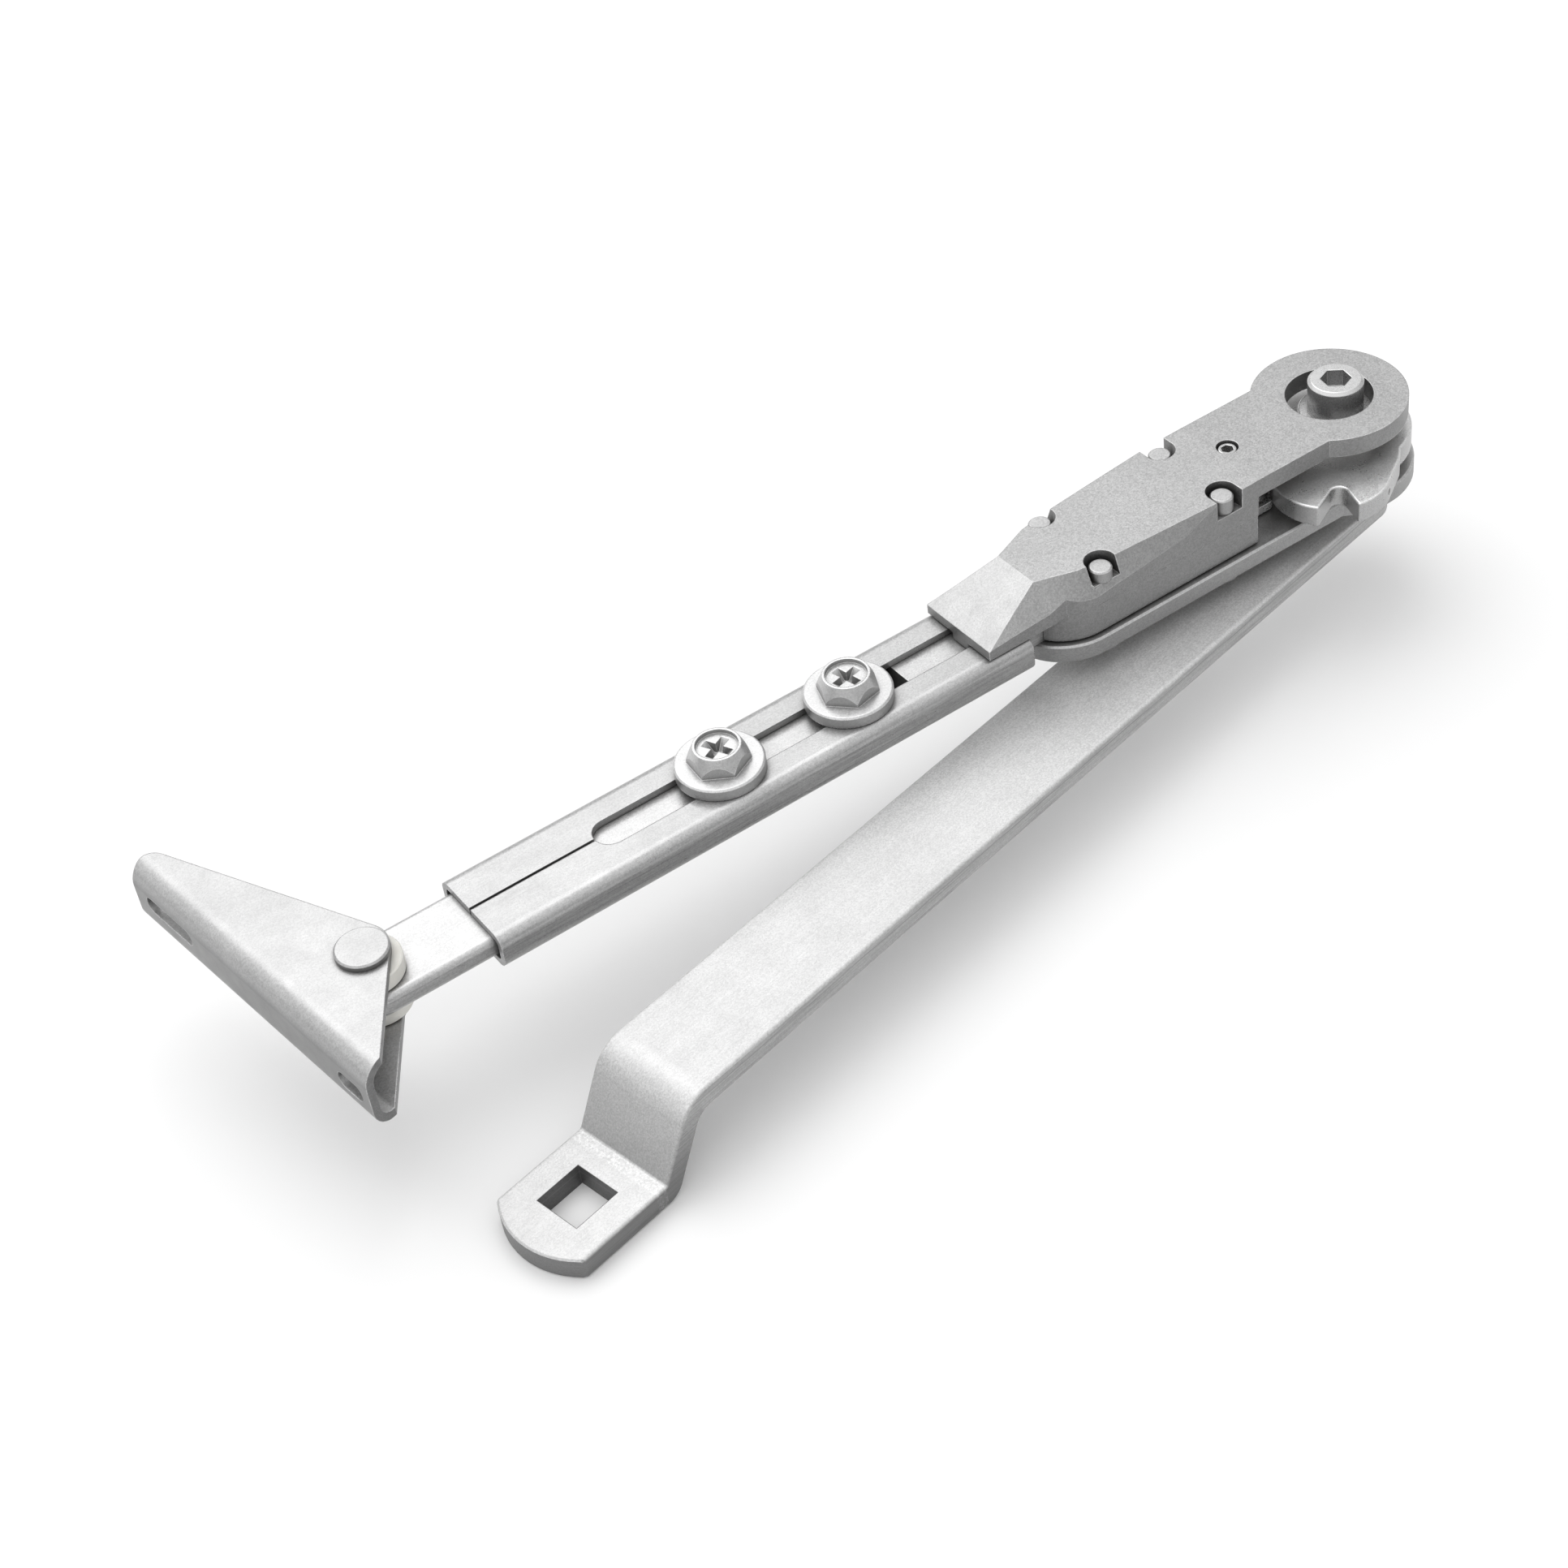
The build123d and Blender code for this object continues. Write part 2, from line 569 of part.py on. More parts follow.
def cross_recess(low, high):
    """Tapering cross recess for a screwdriver."""
    top = Pos(0, 0, high) * Rectangle(RECESS_WIDTH, RECESS_ARM)
    bottom = Pos(0, 0, low) * Rectangle(RECESS_FOOT_WIDTH, RECESS_FOOT_ARM)
    blade = loft([bottom, top])
    return blade + Rot(0, 0, 90) * blade


def clamp_screw(station, turn):
    """Flanged hexagon screw with a sunk face and a cross recess."""
    seat = CHANNEL_TOP + FACE_GAP
    flange_top = seat + CLAMP_FLANGE_THICK
    top = seat + CLAMP_HEAD_HEIGHT
    flange = disc(station, 0, seat, flange_top, CLAMP_FLANGE_RADIUS)
    flange = chamfer(flange.edges().group_by(Axis.Z)[-1], CLAMP_FLANGE_EDGE)
    head = Pos(station, 0, 0) * Rot(0, 0, turn) * hexagon(0, 0, seat, top, CLAMP_HEX)
    dome = Pos(station, 0, seat) * Cone(*CLAMP_DOME_RADII, CLAMP_HEAD_HEIGHT, align=BOTTOM)
    screw = flange + (head & dome)
    face = top - CLAMP_RIM_DEPTH
    screw -= disc(station, 0, face, top + 1, CLAMP_FACE_RADIUS)
    recess = cross_recess(face - RECESS_DEPTH, face + FACE_GAP)
    screw -= Pos(station, 0, 0) * Rot(0, 0, turn) * recess
    screw += disc(station, 0, ROD_BOTTOM + 0.1, seat, CLAMP_SHANK_RADIUS)
    return ELBOW * screw


# ---------------------------------------------------------------- hold-open detent
def detent_plunger():
    """Forked slide block that presses the roller on the cam."""
    half = PLUNGER_HALF_WIDTH
    block = slab(PLUNGER_START, PLUNGER_END, -half, half, PLUNGER_BOTTOM, PLUNGER_TOP)
    fork_low, fork_high = ROLLER_BOTTOM - 0.2, ROLLER_TOP + 0.2
    block -= slab(PLUNGER_START - 1, FORK_DEPTH_END, -half - 1, half + 1, fork_low, fork_high)
    block = fillet(block.edges().filter_by(Axis.Z).sort_by(Axis.X)[:4], 2.0)
    pin_hole = disc(ROLLER_STATION, 0, PLUNGER_BOTTOM - 1, PLUNGER_TOP + 1, ROLLER_PIN_RADIUS)
    block -= pin_hole
    pocket = Pos(PLUNGER_END - 3, 0, SPRING_AXIS_HEIGHT) * Rot(0, 90, 0)
    block -= pocket * Cylinder(SPRING_RADIUS + 0.4, 4, align=BOTTOM)
    return ELBOW * block


def detent_roller():
    roller = disc(ROLLER_STATION, 0, ROLLER_BOTTOM, ROLLER_TOP, ROLLER_RADIUS)
    roller = chamfer(roller.edges(), 0.4)
    roller -= disc(ROLLER_STATION, 0, 0, COVER_TOP, ROLLER_PIN_RADIUS + RUNNING_FIT)
    return ELBOW * roller


def roller_pin():
    low, high = PLUNGER_BOTTOM + 0.2, PLUNGER_TOP - 0.1
    return ELBOW * disc(ROLLER_STATION, 0, low, high, ROLLER_PIN_RADIUS)


def detent_spring():
    """Compression spring between the plunger and its seat."""
    start = PLUNGER_END - 3 + SPRING_WIRE_RADIUS
    length = SPRING_END - SPRING_WIRE_RADIUS - start
    centre_radius = SPRING_RADIUS - SPRING_WIRE_RADIUS
    path = Helix(pitch=length / SPRING_TURNS, height=length, radius=centre_radius)
    section = Plane(origin=path @ 0, z_dir=path % 0) * Circle(SPRING_WIRE_RADIUS)
    coil = sweep(section, path=path, is_frenet=True)
    return ELBOW * Pos(start, 0, SPRING_AXIS_HEIGHT) * Rot(0, 90, 0) * coil


def spring_seat():
    """Block behind the spring, with a spigot inside its coils."""
    half = PLUNGER_HALF_WIDTH
    seat = slab(SPRING_END, SEAT_END, -half, half, PLATE_TOP, PLUNGER_TOP)
    spigot = Pos(SPRING_END - 4, 0, SPRING_AXIS_HEIGHT) * Rot(0, 90, 0)
    seat += spigot * Cylinder(SPRING_RADIUS - 2 * SPRING_WIRE_RADIUS - 0.3, 4.5, align=BOTTOM)
    return ELBOW * seat


def set_screw():
    """Socket set screw over the plunger, which locks the hold-open."""
    low = PLUNGER_TOP + 0.3
    screw = disc(0, 0, low, SET_SCREW_TOP, SET_SCREW_RADIUS)
    screw = chamfer(screw.edges().group_by(Axis.Z)[-1], SET_SCREW_EDGE)
    screw -= hexagon(0, 0, SET_SCREW_TOP - SET_SOCKET_DEPTH, SET_SCREW_TOP + 1, SET_SCREW_HEX)
    return ELBOW * Pos(SET_SCREW_STATION, SET_SCREW_OFFSET, 0) * screw


# ---------------------------------------------------------------- shoe
def shoe_section(inset):
    """Cross-section of the folded shoe's outside, or of its hollow when inset by the sheet."""
    low, high = SHOE_BOTTOM + inset, SHOE_TOP - inset
    right = SHOE_FACE - inset
    left = -2 * SHOE_FACE
    section = make_face(Polyline((left, low), (right, low), (right, high), (left, high), close=True))
    bends = section.vertices().group_by(Axis.X)[-1]
    return Plane.XZ * fillet(bends, SHOE_BEND_RADIUS - inset)


def shoe_bracket():
    """Folded U bracket: two triangular flanges joined by the slotted mounting face."""
    nose = Pos(*SHOE_NOSE) * Circle(SHOE_NOSE_RADIUS)
    rest = Polyline(
        SHOE_FAR_CORNER,
        (SHOE_FACE, SHOE_FAR_END),
        (SHOE_FACE, SHOE_NEAR_END),
        SHOE_NEAR_BEVEL,
        SHOE_NEAR_CORNER,
    )
    outline = make_hull([*nose.edges(), *rest.edges()])
    outline = fillet(outline.vertices().sort_by(Axis.Y)[0], SHOE_FAR_ROUND)
    reach = abs(SHOE_FAR_CORNER[1]) + 5
    sheet = extrude(shoe_section(0), reach, both=True)
    sheet -= extrude(shoe_section(SHOE_THICK), reach, both=True)
    solid = sheet & extrude(outline, SHOE_TOP + 1)
    middle = (SHOE_TOP + SHOE_BOTTOM) / 2
    slot_radius = SHOE_SLOT_WIDTH / 2
    deep = 4 * SHOE_THICK
    for centre, length, lift in SHOE_SLOTS:
        cutter = obround(-length / 2 + slot_radius, length / 2 - slot_radius, 0, deep, slot_radius)
        place = Pos(SHOE_FACE - deep / 2, centre, middle + lift) * Rot(0, 0, 90) * Rot(90, 0, 0)
        solid -= place * cutter
    solid -= disc(0, 0, 0, COVER_TOP, SHOE_PIN_RADIUS + 0.02)
    return SHOE * solid


def shoe_rivet():
    """Headed pivot pin through both flanges, both washers and the rod's eye."""
    top = SHOE_TOP + SHOE_HEAD_THICK
    pin = disc(0, 0, SHOE_BOTTOM, SHOE_TOP, SHOE_PIN_RADIUS)
    head = disc(0, 0, SHOE_TOP, top, SHOE_HEAD_RADIUS)
    head = chamfer(head.edges().group_by(Axis.Z)[-1], SHOE_HEAD_EDGE)
    foot = disc(0, 0, SHOE_BOTTOM - SHOE_HEAD_THICK, SHOE_BOTTOM, SHOE_FOOT_RADIUS)
    foot = chamfer(foot.edges().group_by(Axis.Z)[0], SHOE_HEAD_EDGE)
    return SHOE * (pin + head + foot)


def nylon_washer(low, high):
    washer = disc(0, 0, low, high, NYLON_RADIUS)
    washer = chamfer(washer.edges(), 0.3)
    washer -= disc(0, 0, low - 1, high + 1, SHOE_PIN_RADIUS + 0.02)
    return SHOE * washer


def upper_washer():
    return nylon_washer(ROD_TOP + FACE_GAP, SHOE_TOP - SHOE_THICK)


def lower_washer():
    return nylon_washer(SHOE_BOTTOM + SHOE_THICK, ROD_BOTTOM - FACE_GAP)


# ---------------------------------------------------------------- write every node
NODES = {
    "main_arm": main_arm,
    "pivot_hub": pivot_hub,
    "hold_open_cam": hold_open_cam,
    "cam_spacer": cam_spacer,
    "clamp_collar": clamp_collar,
    "flat_washer": flat_washer,
    "cap_screw": cap_screw,
    "elbow_cover": elbow_cover,
    "lower_plate": lower_plate,
    "pivot_bush": pivot_bush,
    "cover_rivets": cover_rivets,
    "forearm_channel": forearm_channel,
    "joint_bar": joint_bar,
    "detent_plunger": detent_plunger,
    "detent_roller": detent_roller,
    "roller_pin": roller_pin,
    "detent_spring": detent_spring,
    "spring_seat": spring_seat,
    "set_screw": set_screw,
    "slide_rod": slide_rod,
    "inner_clamp_screw": lambda: clamp_screw(CLAMP_STATIONS[0], 12),
    "outer_clamp_screw": lambda: clamp_screw(CLAMP_STATIONS[1], 25),
    "shoe_bracket": shoe_bracket,
    "shoe_rivet": shoe_rivet,
    "upper_washer": upper_washer,
    "lower_washer": lower_washer,
}

os.makedirs("parts", exist_ok=True)
for name, build in NODES.items():
    export_step(build(), f"parts/{name}.step")
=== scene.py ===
import json
import math

import bpy
from mathutils import Matrix, Vector


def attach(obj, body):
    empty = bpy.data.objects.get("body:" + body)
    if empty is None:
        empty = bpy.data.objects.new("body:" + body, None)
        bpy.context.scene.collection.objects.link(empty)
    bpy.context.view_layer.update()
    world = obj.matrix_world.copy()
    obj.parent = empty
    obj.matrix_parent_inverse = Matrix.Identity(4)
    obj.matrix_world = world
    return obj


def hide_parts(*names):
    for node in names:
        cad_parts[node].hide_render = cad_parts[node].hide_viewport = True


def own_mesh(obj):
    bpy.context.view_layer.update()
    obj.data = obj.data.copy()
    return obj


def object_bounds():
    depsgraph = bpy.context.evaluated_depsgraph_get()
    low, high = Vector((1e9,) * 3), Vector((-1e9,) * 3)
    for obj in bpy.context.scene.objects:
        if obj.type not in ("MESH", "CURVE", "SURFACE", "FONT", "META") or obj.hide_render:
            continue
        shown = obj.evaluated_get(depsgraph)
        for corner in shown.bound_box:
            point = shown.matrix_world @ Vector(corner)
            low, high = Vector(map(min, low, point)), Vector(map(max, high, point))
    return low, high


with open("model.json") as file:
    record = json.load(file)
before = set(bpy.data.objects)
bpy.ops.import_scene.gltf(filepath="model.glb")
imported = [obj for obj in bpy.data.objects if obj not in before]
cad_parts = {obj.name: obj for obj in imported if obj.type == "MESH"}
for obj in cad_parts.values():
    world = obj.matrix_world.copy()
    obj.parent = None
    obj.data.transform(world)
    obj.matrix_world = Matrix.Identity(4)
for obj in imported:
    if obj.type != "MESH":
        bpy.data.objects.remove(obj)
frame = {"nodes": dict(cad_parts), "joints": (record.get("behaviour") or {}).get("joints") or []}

cad_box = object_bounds()
MM = 0.001

# ---------------- directions
JOINTS = {joint["name"]: joint for joint in frame["joints"]}
FOREARM_ALONG = Vector(JOINTS["length_slide"]["axis"])
ARM_ALONG = Vector((1, 0, 0))

# ---------------- marks on the main arm
SQUARE_HALF = 5.65 * MM
SQUARE_WALL = 0.12 * MM  # how far past the square hole's side its dark wall counts
SQUARE_DARK = 0.8
SHEAR_HEIGHTS = (3.7 * MM, 20.4 * MM)  # shear lines on the low and the high part of the bar
SHEAR_CORE = 0.08 * MM
SHEAR_EDGE = 0.22 * MM
SHEAR_TONE = 0.55
SHEAR_WANDER = 0.2 * MM
COIN_MIDDLE = 11.0 * MM  # dented band at the foot of the joggle
COIN_HALF = 1.5 * MM
COIN_FADE = 0.3 * MM
COIN_TOP = 5.7 * MM
WEB_END = 25 * MM  # the painted shade on the joggle's web ends here
WEB_TOP = 21 * MM
WEB_SHADE = 0.7

# ---------------- grain sizes of the metal finishes
BROAD_PATCH = 14 * MM
ROUGH_PATCH = 5 * MM
EDGE_PATCH = 2.2 * MM
PIT = 0.9 * MM
PIT_DEPTH = 0.2 * MM
GRAIN = 0.35 * MM
GRAIN_DEPTH = 0.05 * MM
STREAK_WIDTH = 0.35 * MM
STREAK_SQUEEZE = 0.02
CREASE = 1.6 * MM  # reach of the painted shade in tight creases
HOLLOW = 7 * MM  # reach of the shade in wide hollows
# edges are brightened by this gain, partly as wear and partly as painted highlight
WEAR_AND_HIGHLIGHT_GAIN = 1.8

# ---------------- nylon of the washers
NYLON_DULL = (0.70, 0.69, 0.64, 1.0)
NYLON_PALE = (0.86, 0.85, 0.81, 1.0)
# colour of the painted shade in the nylon's tight corners
NYLON_SHADE = (0.35, 0.33, 0.3, 1.0)
NYLON_DEPTH = 1.2 * MM


# ---------------- material helpers
def socket(tree, target, value):
    """Links a node's output into a socket, or sets the socket to a plain value."""
    if isinstance(value, bpy.types.NodeSocket):
        tree.links.new(value, target)
    else:
        target.default_value = value


def add(tree, kind, inputs=None, **settings):
    """One shader node with its settings and inputs; inputs go by name or by number."""
    node = tree.nodes.new(kind)
    for name, value in settings.items():
        setattr(node, name, value)
    for key, value in (inputs or {}).items():
        socket(tree, node.inputs[key], value)
    return node


def arithmetic(tree, operation, *values, clamp=False):
    """One sum on sockets or plain values."""
    node = add(tree, "ShaderNodeMath", operation=operation, use_clamp=clamp)
    for number, value in enumerate(values):
        socket(tree, node.inputs[number], value)
    return node.outputs[0]


def remap(tree, value, low, high, to_low=0.0, to_high=1.0):
    """Maps low..high onto to_low..to_high and holds the ends."""
    inputs = {
        "Value": value,
        "From Min": low,
        "From Max": high,
        "To Min": to_low,
        "To Max": to_high,
    }
    return add(tree, "ShaderNodeMapRange", inputs, clamp=True).outputs["Result"]


def blend_colour(tree, factor, first, second, mode="MIX"):
    """Goes from the first colour to the second as the factor goes from 0 to 1."""
    node = add(tree, "ShaderNodeMix", data_type="RGBA", blend_type=mode)
    socket(tree, node.inputs[0], factor)
    socket(tree, node.inputs[6], first)
    socket(tree, node.inputs[7], second)
    return node.outputs[2]


def noise(tree, place, size, detail=2.0, roughness=0.5):
    """Noise whose blobs are about size metres across."""
    inputs = {"Vector": place, "Scale": 1.0 / size, "Detail": detail, "Roughness": roughness}
    return add(tree, "ShaderNodeTexNoise", inputs).outputs["Fac"]


def stretched(tree, place, along, factor):
    """Coordinates squeezed along one horizontal direction, for streaks that run that way."""
    turn = -math.atan2(along.y, along.x)
    inputs = {"Vector": place, "Rotation": (0, 0, turn)}
    turned = add(tree, "ShaderNodeMapping", inputs).outputs[0]
    squeeze = {"Vector": turned, "Scale": (factor, 1.0, 1.0)}
    return add(tree, "ShaderNodeMapping", squeeze).outputs[0]


def grey(level, warmth=0.0):
    """A grey, made slightly warmer by the warmth."""
    return (level * (1 + warmth), level, level * (1 - warmth), 1.0)


def edge_mask(tree, rounded, true):
    """Near 1 along outer edges and corners, from a rounded normal against the true one."""
    dot = add(tree, "ShaderNodeVectorMath", {0: rounded, 1: true}, operation="DOT_PRODUCT")
    return remap(tree, dot.outputs["Value"], 0.999, 0.86)


def upright(tree, true):
    """1 on upright faces, 0 on level ones."""
    rise = add(tree, "ShaderNodeSeparateXYZ", {0: true}).outputs[2]
    return remap(tree, arithmetic(tree, "ABSOLUTE", rise), 0.1, 0.75, 1.0, 0.0)


def metal(
    name,
    level,
    metallic=0.75,
    roughness=0.42,
    fleck=0.18,
    fleck_size=0.28 * MM,
    grain=0.25,
    cast=0.0,
    streak=None,
    edge_wear_and_highlight=0.25,
    edge_radius=0.35 * MM,
    painted_side_shade=1.0,
    painted_crease_shade=0.45,
    shade=0.45,
    extra=None,
):
    """Coated or bare metal: flecks, fine grain, edges brightened as wear and painted highlight,
    and painted shade on upright faces, in tight creases and in wide hollows.

    painted_side_shade is the tone of upright faces as painted shade, painted_crease_shade the
    painted shade of tight creases and shade the painted shade of wide hollows. streak is the
    direction in which the metal was drawn, and extra adds further marks, some of them painted
    shade.
    """
    material = bpy.data.materials.new(name)
    material.use_nodes = True
    tree = material.node_tree
    shader = tree.nodes["Principled BSDF"]
    place = add(tree, "ShaderNodeTexCoord").outputs["Object"]
    true = add(tree, "ShaderNodeNewGeometry").outputs["Normal"]
    rounded = add(tree, "ShaderNodeBevel", {"Radius": edge_radius}, samples=8).outputs[0]
    wall = upright(tree, true)

    cells = add(tree, "ShaderNodeTexVoronoi", {"Vector": place, "Scale": 1 / fleck_size})
    random = add(tree, "ShaderNodeSeparateColor", {0: cells.outputs["Color"]}).outputs[0]
    sparkle = remap(tree, random, 0.0, 1.0, 1 - fleck, 1 + fleck)
    broad = remap(tree, noise(tree, place, BROAD_PATCH, 3.0), 0.3, 0.7, 0.96, 1.03)
    tone = arithmetic(tree, "MULTIPLY", sparkle, broad)
    if streak is not None:
        drawn_and_web_shade = stretched(tree, place, streak, STREAK_SQUEEZE)
        lines = noise(tree, drawn_and_web_shade, STREAK_WIDTH, 3.0, 0.6)
        depth = remap(tree, wall, 0.0, 1.0, 0.05, 0.22)
        swing = arithmetic(tree, "MULTIPLY", remap(tree, lines, 0.3, 0.7, -1.0, 0.9), depth)
        tone = arithmetic(tree, "MULTIPLY", tone, arithmetic(tree, "ADD", 1.0, swing))
    # painted shade: upright faces get a darker tone than level ones
    tone = arithmetic(tree, "MULTIPLY", tone, remap(tree, wall, 0.0, 1.0, 1.0, painted_side_shade))
    colour = blend_colour(tree, 1.0, grey(level), tone, "MULTIPLY")
    # edges brightened, partly as wear and partly as painted highlight
    wear_and_highlight = edge_mask(tree, rounded, true)
    broken = remap(tree, noise(tree, place, EDGE_PATCH, 3.0), 0.35, 0.65, 0.35, 1.0)
    wear_and_highlight = arithmetic(tree, "MULTIPLY", arithmetic(tree, "MULTIPLY", wear_and_highlight, broken), edge_wear_and_highlight)
    colour = blend_colour(tree, wear_and_highlight, colour, grey(min(1.0, level * WEAR_AND_HIGHLIGHT_GAIN)))
    # painted shade: darker in tight creases and wide hollows, by ambient occlusion
    for distance, share, dark in ((CREASE, painted_crease_shade, 0.12), (HOLLOW, shade, 0.2)):
        nearby = add(tree, "ShaderNodeAmbientOcclusion", {"Distance": distance}, samples=8)
        painted_shade = remap(tree, nearby.outputs["AO"], 0.2, 0.85, share, 0.0)
        colour = blend_colour(tree, painted_shade, colour, grey(level * dark, 0.03))
    if extra is not None:
        colour = extra(tree, place, wall, colour)
    socket(tree, shader.inputs["Base Color"], colour)
    shader.inputs["Metallic"].default_value = metallic

    cloud = noise(tree, place, ROUGH_PATCH, 4.0)
    patches = remap(tree, cloud, 0.3, 0.7, roughness - 0.05, roughness + 0.06)
    rough = arithmetic(tree, "SUBTRACT", patches, arithmetic(tree, "MULTIPLY", wear_and_highlight, 0.25))
    flakes = remap(tree, random, 0.0, 1.0, -0.06, 0.06)
    socket(tree, shader.inputs["Roughness"], arithmetic(tree, "ADD", rough, flakes, clamp=True))

    fine = noise(tree, place, GRAIN, 2.0)
    inputs = {"Height": fine, "Strength": grain, "Distance": GRAIN_DEPTH, "Normal": rounded}
    bump = add(tree, "ShaderNodeBump", inputs)
    if cast:
        inputs = {
            "Height": noise(tree, place, PIT, 4.0, 0.65),
            "Strength": cast,
            "Distance": PIT_DEPTH,
            "Normal": bump.outputs[0],
        }
        bump = add(tree, "ShaderNodeBump", inputs)
    socket(tree, shader.inputs["Normal"], bump.outputs[0])
    return material


def arm_marks(tree, place, wall, colour):
    """Dark walls in the square hole, a dented band at the crease, painted shade on the web, shear
    lines.
    """
    parts = add(tree, "ShaderNodeSeparateXYZ", {0: place}).outputs
    reach = arithmetic(tree, "MAXIMUM", *(arithmetic(tree, "ABSOLUTE", parts[i]) for i in (0, 1)))
    inside = arithmetic(tree, "LESS_THAN", reach, SQUARE_HALF + SQUARE_WALL)
    marks = remap(tree, noise(tree, place, 0.5 * MM, 4.0, 0.7), 0.3, 0.7, 0.06, 0.22)
    colour = blend_colour(tree, arithmetic(tree, "MULTIPLY", inside, SQUARE_DARK), colour, marks)
    across = arithmetic(tree, "ABSOLUTE", arithmetic(tree, "SUBTRACT", parts[0], COIN_MIDDLE))
    coined = remap(tree, across, COIN_HALF - COIN_FADE, COIN_HALF, 1.0, 0.0)
    low = arithmetic(tree, "LESS_THAN", parts[2], COIN_TOP)
    dents = remap(tree, noise(tree, place, 0.7 * MM, 4.0, 0.7), 0.35, 0.65, -0.35, 0.7)
    coined = arithmetic(tree, "MULTIPLY", coined, low)
    coined = arithmetic(tree, "MULTIPLY", coined, dents, clamp=True)
    colour = blend_colour(tree, coined, colour, grey(0.95))
    # painted shade: the joggle's web darker towards its foot
    web = arithmetic(tree, "GREATER_THAN", WEB_END, parts[0])
    drawn_and_web_shade = remap(tree, parts[2], COIN_TOP, WEB_TOP, WEB_SHADE, 0.0)
    drawn_and_web_shade = arithmetic(tree, "MULTIPLY", arithmetic(tree, "MULTIPLY", drawn_and_web_shade, web), wall)
    colour = blend_colour(tree, drawn_and_web_shade, colour, grey(0.1))
    wander = remap(tree, noise(tree, place, 9 * MM), 0.3, 0.7, -SHEAR_WANDER, SHEAR_WANDER)
    for height in SHEAR_HEIGHTS:
        offset = arithmetic(tree, "SUBTRACT", arithmetic(tree, "ADD", parts[2], wander), height)
        away = arithmetic(tree, "ABSOLUTE", offset)
        line = remap(tree, away, SHEAR_CORE, SHEAR_EDGE, SHEAR_TONE, 0.0)
        line = arithmetic(tree, "MULTIPLY", line, wall)
        colour = blend_colour(tree, line, colour, grey(0.2))
    return colour


def nylon(name):
    """Natural nylon, slightly see-through, with a fine uneven surface."""
    material = bpy.data.materials.new(name)
    material.use_nodes = True
    tree = material.node_tree
    shader = tree.nodes["Principled BSDF"]
    place = add(tree, "ShaderNodeTexCoord").outputs["Object"]
    cloud = noise(tree, place, 4 * MM, 4.0)
    colour = blend_colour(tree, cloud, NYLON_DULL, NYLON_PALE)
    # painted shade: darker where the nylon sits in tight corners
    nearby = add(tree, "ShaderNodeAmbientOcclusion", {"Distance": NYLON_DEPTH}, samples=4)
    painted_shade = remap(tree, nearby.outputs["AO"], 0.2, 0.8, 0.4, 0.0)
    colour = blend_colour(tree, painted_shade, colour, NYLON_SHADE)
    socket(tree, shader.inputs["Base Color"], colour)
    shader.inputs["Subsurface Weight"].default_value = 0.35
    shader.inputs["Subsurface Radius"].default_value = (1.0, 0.9, 0.8)
    shader.inputs["Subsurface Scale"].default_value = NYLON_DEPTH
    rough = remap(tree, noise(tree, place, 1.5 * MM, 3.0), 0.3, 0.7, 0.38, 0.52)
    socket(tree, shader.inputs["Roughness"], rough)
    fine = noise(tree, place, 0.5 * MM, 3.0)
    inputs = {"Height": fine, "Strength": 0.25, "Distance": GRAIN_DEPTH}
    bump = add(tree, "ShaderNodeBump", inputs)
    socket(tree, shader.inputs["Normal"], bump.outputs[0])
    return material


# ---------------- materials of the object
def make_materials():
    """Every finish of the object by name; the number is its grey level."""
    arm = {"metallic": 0.45, "roughness": 0.46, "streak": ARM_ALONG, "fleck": 0.13, "painted_side_shade": 0.6}
    arm |= {"shade": 0.15, "extra": arm_marks}
    cast = {"fleck": 0.16, "fleck_size": 0.3 * MM, "grain": 0.3, "cast": 0.3, "painted_side_shade": 0.52}
    cast |= {"edge_wear_and_highlight": 1.0, "edge_radius": 0.32 * MM, "painted_crease_shade": 0.85}
    strip = {"roughness": 0.36, "streak": FOREARM_ALONG, "fleck": 0.13, "painted_side_shade": 0.66}
    strip |= {"edge_wear_and_highlight": 0.45}
    sheet = {"roughness": 0.38, "fleck": 0.13, "painted_side_shade": 0.43, "edge_wear_and_highlight": 0.45, "painted_crease_shade": 0.85}
    plate = {"fleck": 0.13, "painted_side_shade": 0.56, "edge_wear_and_highlight": 0.6, "painted_crease_shade": 0.95, "shade": 0.75}
    cam = {"fleck": 0.1, "roughness": 0.34, "painted_side_shade": 0.5, "edge_wear_and_highlight": 0.35, "shade": 0.9}
    screw = {"roughness": 0.36, "fleck": 0.1, "painted_side_shade": 0.55, "edge_wear_and_highlight": 0.6, "painted_crease_shade": 0.6}
    screw |= {"shade": 0.2}
    zinc = {"roughness": 0.3, "fleck": 0.04, "grain": 0.12, "edge_wear_and_highlight": 0.7}
    cap = {"metallic": 0.7, "painted_side_shade": 0.5, "painted_crease_shade": 0.2, "shade": 0.0}
    bright = {"metallic": 1.0, "roughness": 0.22, "fleck": 0.03, "grain": 0.06, "edge_wear_and_highlight": 0.4}
    wire = {"metallic": 1.0, "roughness": 0.3, "fleck": 0.04, "grain": 0.1}
    return {
        "arm_coat": metal("arm_coat", 0.65, **arm),
        "cast_coat": metal("cast_coat", 0.48, **cast),
        "strip_coat": metal("strip_coat", 0.52, **strip),
        "rod_coat": metal("rod_coat", 0.62, **strip),
        "sheet_coat": metal("sheet_coat", 0.53, **sheet),
        "plate_coat": metal("plate_coat", 0.57, **plate),
        "cam_coat": metal("cam_coat", 0.82, **cam),
        "screw_coat": metal("screw_coat", 0.68, **screw),
        "cap_zinc": metal("cap_zinc", 0.7, **cap, **zinc),
        "zinc": metal("zinc", 0.78, metallic=0.7, shade=0.3, **zinc),
        "bright": metal("bright", 0.7, **bright),
        "wire": metal("wire", 0.3, **wire),
        "nylon": nylon("nylon"),
    }


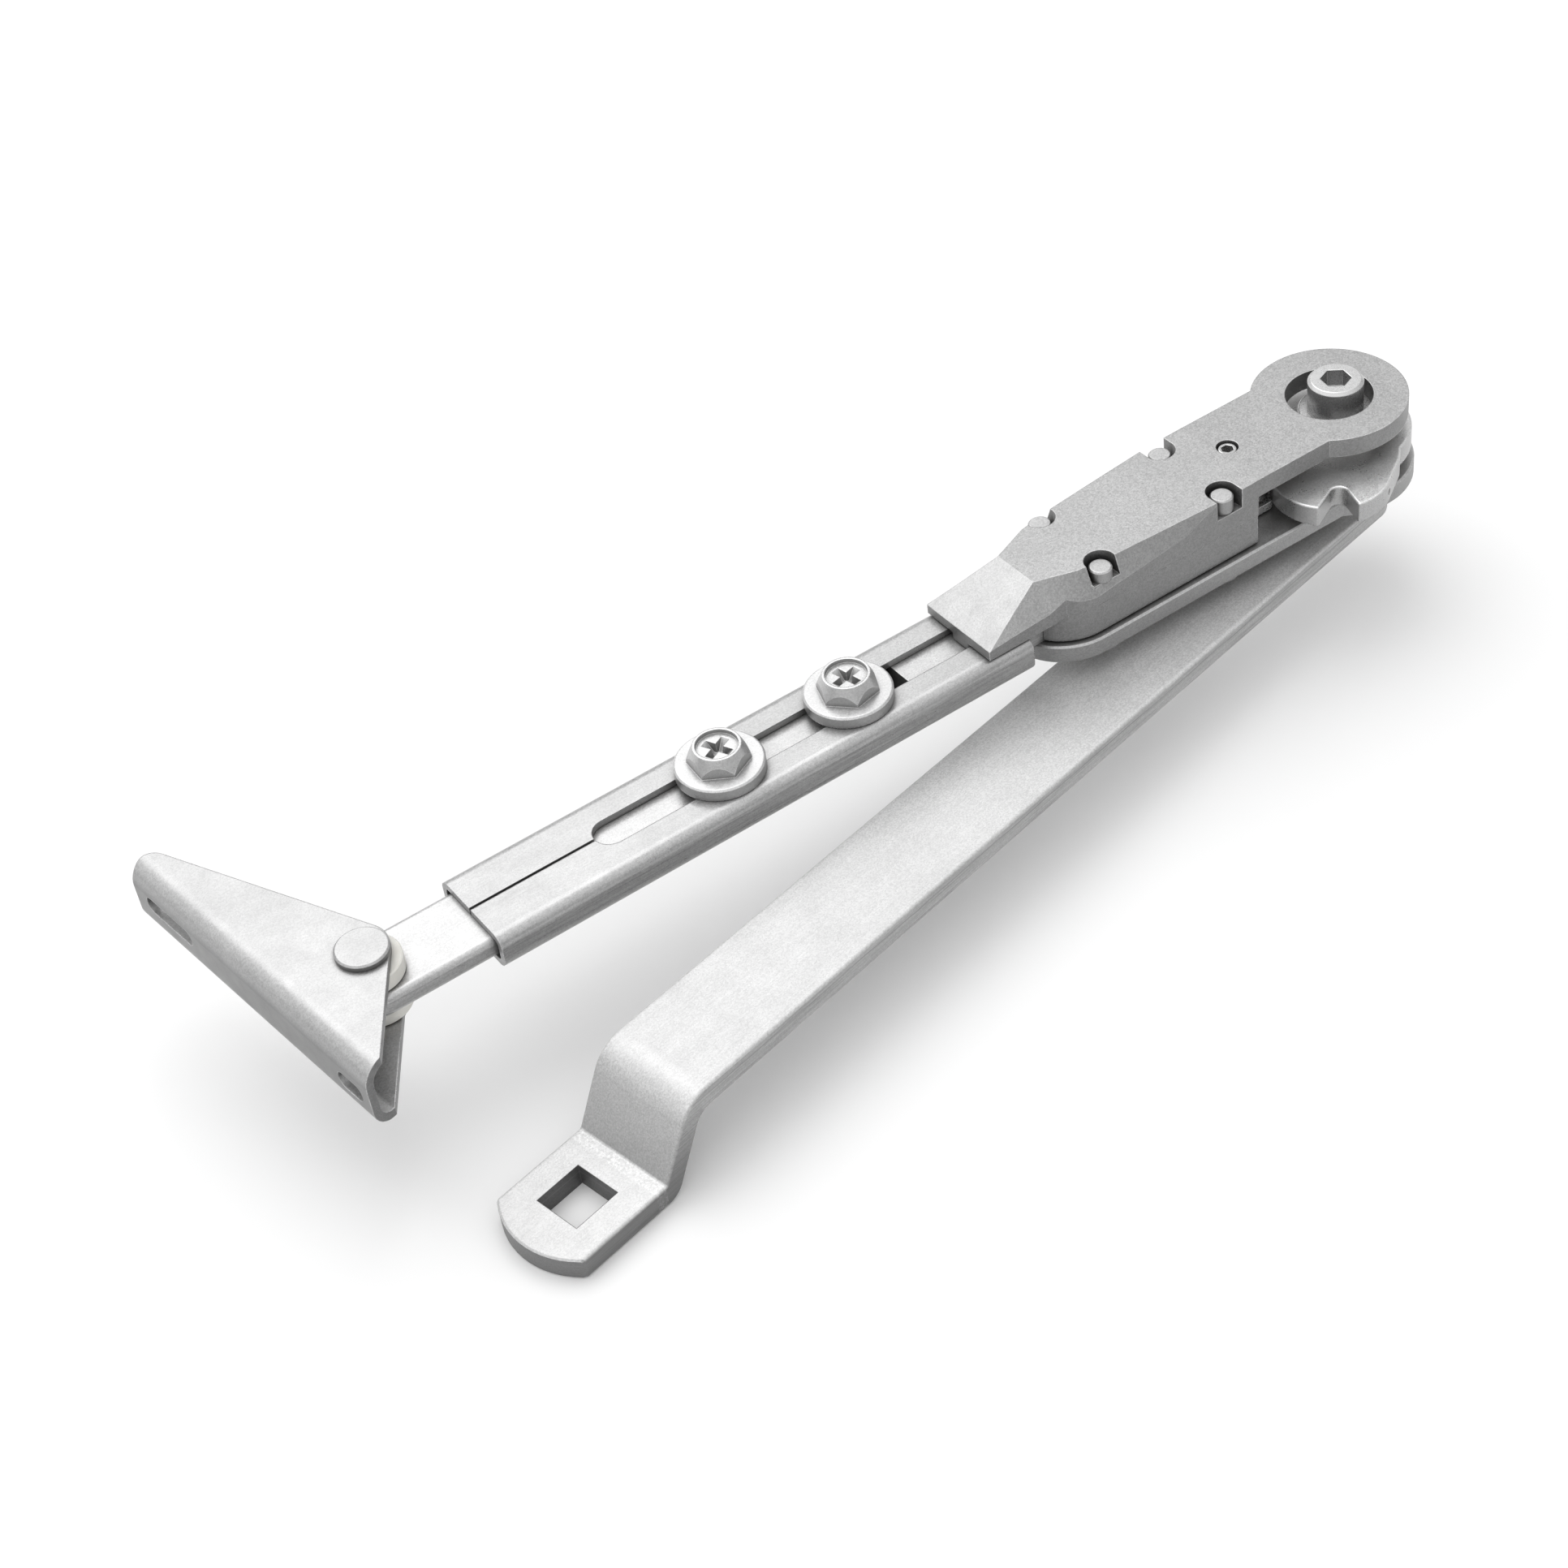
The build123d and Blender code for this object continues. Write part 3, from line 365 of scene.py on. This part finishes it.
FINISH = {
    "arm_coat": ["main_arm"],
    "cast_coat": ["elbow_cover"],
    "plate_coat": ["lower_plate", "cover_rivets"],
    "cam_coat": ["hold_open_cam"],
    "strip_coat": ["forearm_channel"],
    "rod_coat": ["slide_rod", "joint_bar"],
    "sheet_coat": ["shoe_bracket", "shoe_rivet"],
    "screw_coat": ["inner_clamp_screw", "outer_clamp_screw"],
    "cap_zinc": ["cap_screw"],
    "zinc": ["pivot_hub", "clamp_collar", "flat_washer", "detent_plunger", "spring_seat"],
    "bright": ["set_screw", "detent_roller", "roller_pin"],
    "wire": ["detent_spring"],
    "nylon": ["upper_washer", "lower_washer", "pivot_bush", "cam_spacer"],
}


def dress(materials):
    """Gives every CAD node its material."""
    for finish, names in FINISH.items():
        for name in names:
            slots = frame["nodes"][name].data.materials
            slots.clear()
            slots.append(materials[finish])


def springy_coil():
    """The detent spring as its own piece, a copy of the CAD coil attached to the forearm."""
    node = frame["nodes"]["detent_spring"]
    coil = bpy.data.objects.new("spring_coil", node.data.copy())
    bpy.context.scene.collection.objects.link(coil)
    coil.matrix_world = node.matrix_world
    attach(coil, "forearm")
    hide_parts("detent_spring")
    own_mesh(coil)


# ---------------- stage, light and camera
FLOOR_DROP = 0.05 * MM
FLOOR_SIZE = 6.0
FLOOR_COLOUR = (0.92, 0.92, 0.92, 1.0)
CAMERA_PLACE = Vector((-0.2067, -0.3159, 0.4451))
CAMERA_TARGET = Vector((0.0939, 0.0281, 0.03))
CAMERA_ROLL = -8.62
CAMERA_LENS = 66.98
KEY_PLACE = Vector((0.3, 0.75, 1.45))
KEY_SIZE = 1.7
KEY_POWER = 10.0
SKY_SIDE = Vector((-0.25, 0.0, 0.97))
SKY_RANGE = (0.35, 1.12)


def floor():
    """A plain pale floor just under the lowest point."""
    place = (CAMERA_TARGET.x, CAMERA_TARGET.y, cad_box[0][2] - FLOOR_DROP)
    bpy.ops.mesh.primitive_plane_add(size=FLOOR_SIZE, location=place)
    plane = bpy.context.object
    plane.name = "floor"
    material = bpy.data.materials.new("floor_paper")
    material.use_nodes = True
    shader = material.node_tree.nodes["Principled BSDF"]
    shader.inputs["Base Color"].default_value = FLOOR_COLOUR
    shader.inputs["Roughness"].default_value = 0.9
    shader.inputs["Specular IOR Level"].default_value = 0.1
    plane.data.materials.append(material)


def look_at(thing, target, roll=0.0):
    """Points a lamp or a camera at the target."""
    back = (thing.location - target).normalized()
    right = Vector((0, 0, 1)).cross(back).normalized()
    up = back.cross(right)
    turn = Matrix((right, up, back)).transposed()
    thing.rotation_euler = (turn @ Matrix.Rotation(math.radians(roll), 3, "Z")).to_euler()


def area_light(name, place, size, power):
    data = bpy.data.lights.new(name, "AREA")
    data.shape = "DISK"
    data.size = size
    data.energy = power
    lamp = bpy.data.objects.new(name, data)
    bpy.context.scene.collection.objects.link(lamp)
    lamp.location = place
    look_at(lamp, CAMERA_TARGET)


def lights():
    """One large soft key and a sky that is brighter overhead."""
    area_light("key", KEY_PLACE, KEY_SIZE, KEY_POWER)
    world = bpy.data.worlds.new("studio")
    bpy.context.scene.world = world
    world.use_nodes = True
    tree = world.node_tree
    place = add(tree, "ShaderNodeTexCoord").outputs["Generated"]
    inputs = {0: place, 1: SKY_SIDE.normalized()}
    facing = add(tree, "ShaderNodeVectorMath", inputs, operation="DOT_PRODUCT").outputs["Value"]
    strength = remap(tree, facing, -0.1, 0.9, *SKY_RANGE)
    tree.nodes["Background"].inputs["Color"].default_value = (1.0, 1.0, 1.0, 1.0)
    socket(tree, tree.nodes["Background"].inputs["Strength"], strength)


def camera():
    """The camera at the photograph's viewing angle."""
    data = bpy.data.cameras.new("camera")
    data.lens = CAMERA_LENS
    data.sensor_width = 36.0
    data.clip_start = 0.01
    eye = bpy.data.objects.new("camera", data)
    bpy.context.scene.collection.objects.link(eye)
    eye.location = CAMERA_PLACE
    look_at(eye, CAMERA_TARGET, CAMERA_ROLL)
    bpy.context.scene.camera = eye


dress(make_materials())
springy_coil()
floor()
lights()
camera()
bpy.context.scene.view_settings.view_transform = "Standard"
